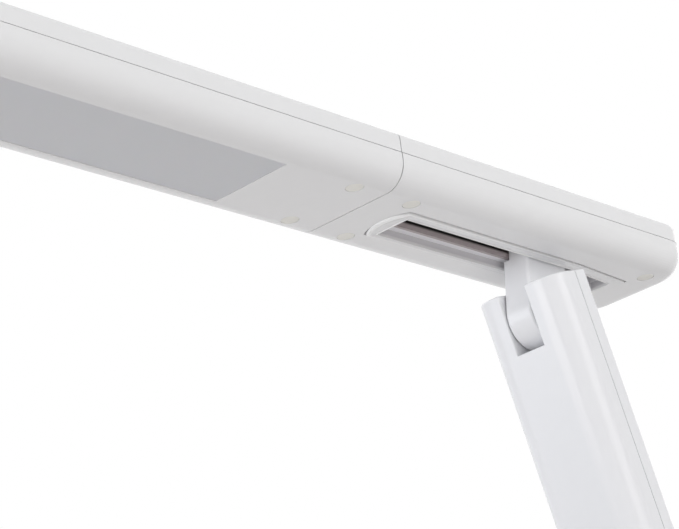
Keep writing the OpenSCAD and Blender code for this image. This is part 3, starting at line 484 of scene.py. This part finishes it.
def make_trim():
    mesh = bmesh.new()

    def add_loop(outline, height, lowered=False):
        """A closed loop of points; the outer lip is low along the sides of the slot."""
        loop = []
        for x, y in outline:
            side = min(max((y - SLOT_Y[0] + TRIM_WIDTH) / LIP_FADE, 0), 1)
            z = height + (max(height, FLAT_Z) - height) * side if lowered else height
            loop.append(mesh.verts.new((x * MM, HEAD_Y + y * MM, HEAD_Z + z * MM)))
        return loop

    def skin(loops):
        for low, high in zip(loops, loops[1:]):
            for index, vert in enumerate(low):
                after = (index + 1) % len(low)
                mesh.faces.new((vert, low[after], high[after], high[index]))
        return [[mesh.edges.get((loop[i - 1], loop[i])) for i in range(len(loop))]
                for loop in (loops[0], loops[-1])]

    outer = skin([add_loop(trim_outline(grow, over), height, True)
                  for grow, over, height in OUTER_LIP])
    inner = skin([add_loop(slot_outline(grow), height) for grow, height in INNER_LIP])
    bmesh.ops.triangle_fill(mesh, edges=outer[1] + inner[0], use_beauty=True)
    bmesh.ops.triangle_fill(mesh, edges=outer[0] + inner[1], use_beauty=True)
    bmesh.ops.recalc_face_normals(mesh, faces=mesh.faces)
    shade_smoothly(mesh)
    data = bpy.data.meshes.new("slot_trim")
    mesh.to_mesh(data)
    mesh.free()
    data.materials.append(trim_finish().material)
    trim = add_piece("slot_trim", data, "tail", "slot_bezel")
    even_normals(trim)


make_trim()

# Room: floor, lights and a plain white background
WHITE_LIGHT = (1, 1, 1)
FLOOR_RADIUS = 6
FLOOR_SIDES = 96
FLOOR_COLOR = (0.80, 0.778, 0.768)
FLOOR_SPECULAR = 0.2
FLOOR_FADE = (0.3, 1.2)
WORLD_COLOR = (0.97, 0.985, 1)
WORLD_LEVEL = 0.37
LAMP_AIM = (0, -0.1, 0.3)
# Name, place, size, power and colour
LAMPS = (
    ("left_box", (-1.41, -0.1, 1.76), (1, 1), 7.2, WHITE_LIGHT),
    ("right_box", (1.81, -0.1, 1.2), (1, 1), 11.4, WHITE_LIGHT),
    ("low_right_box", (1.99, -0.1, 0.52), (1, 1), 4.8, WHITE_LIGHT),
    ("front_left_box", (-1.14, -1.73, 0.52), (1, 1), 7.8, (0.89, 0.935, 1)),
    ("low_front_box", (-0.1, -1.9, 0.16), (1.2, 0.3), 5.6, WHITE_LIGHT),
    ("top_box", (0, -0.15, 2.2), (1.6, 1.6), 2.4, WHITE_LIGHT),
    ("back_box", (-0.5, 1.9, 1), (1.2, 1.2), 4, WHITE_LIGHT),
)


def seen_rays(tree):
    """1 for the rays that show the background: camera, glossy and transmitted ones."""
    path = tree.nodes.new("ShaderNodeLightPath")
    seen = path.outputs["Is Camera Ray"]
    for name in ("Is Glossy Ray", "Is Transmission Ray"):
        most = tree.nodes.new("ShaderNodeMath")
        most.operation = "MAXIMUM"
        tree.links.new(seen, most.inputs[0])
        tree.links.new(path.outputs[name], most.inputs[1])
        seen = most.outputs[0]
    return seen


def mix_shaders(tree, factor, first, second, target):
    mix = tree.nodes.new("ShaderNodeMixShader")
    for source, socket in zip((factor, first, second), mix.inputs):
        tree.links.new(source, socket)
    tree.links.new(mix.outputs[0], target)


def make_floor():
    """Pale floor that holds the lamp's shadow and fades into the white background."""
    mesh = bmesh.new()
    bmesh.ops.create_circle(mesh, cap_ends=True, radius=FLOOR_RADIUS, segments=FLOOR_SIDES)
    data = bpy.data.meshes.new("floor")
    mesh.to_mesh(data)
    mesh.free()
    floor = bpy.data.objects.new("floor", data)
    bpy.context.scene.collection.objects.link(floor)
    nodes = finish("floor", FLOOR_COLOR, (0.55, 0.7), vary=0.01, cloud=3,
                   Specular_IOR_Level=FLOOR_SPECULAR)
    reach = nodes.add("ShaderNodeVectorMath", operation="LENGTH")
    nodes.link(nodes.place, reach.inputs[0])
    far = nodes.spread(reach.outputs["Value"], 0, 1, FLOOR_FADE)
    far.node.interpolation_type = "SMOOTHSTEP"
    fade = nodes.product(far, seen_rays(nodes.tree))
    white = nodes.add("ShaderNodeEmission")
    white.inputs["Color"].default_value = (*WHITE_LIGHT, 1)
    mix_shaders(nodes.tree, fade, nodes.shader.outputs[0], white.outputs[0],
                nodes.tree.nodes["Material Output"].inputs["Surface"])
    data.materials.append(nodes.material)


def make_light(name, at, size, power, color):
    data = bpy.data.lights.new(name, "AREA")
    data.shape = "RECTANGLE"
    data.size, data.size_y = size
    data.energy = power
    data.color = color
    lamp = bpy.data.objects.new(name, data)
    bpy.context.scene.collection.objects.link(lamp)
    lamp.location = at
    lamp.rotation_mode = "QUATERNION"
    lamp.rotation_quaternion = (Vector(LAMP_AIM) - Vector(at)).to_track_quat("-Z", "Y")


def make_world():
    world = bpy.data.worlds.new("world")
    bpy.context.scene.world = world
    world.use_nodes = True
    tree = world.node_tree
    plain = tree.nodes["Background"]
    plain.inputs["Color"].default_value = (*WORLD_COLOR, 1)
    plain.inputs["Strength"].default_value = WORLD_LEVEL
    shown = tree.nodes.new("ShaderNodeBackground")
    shown.inputs["Color"].default_value = (*WHITE_LIGHT, 1)
    mix_shaders(tree, seen_rays(tree), plain.outputs[0], shown.outputs[0],
                tree.nodes["World Output"].inputs["Surface"])


make_floor()
make_world()
for lamp in LAMPS:
    make_light(*lamp)
bpy.context.scene.view_settings.view_transform = "Standard"
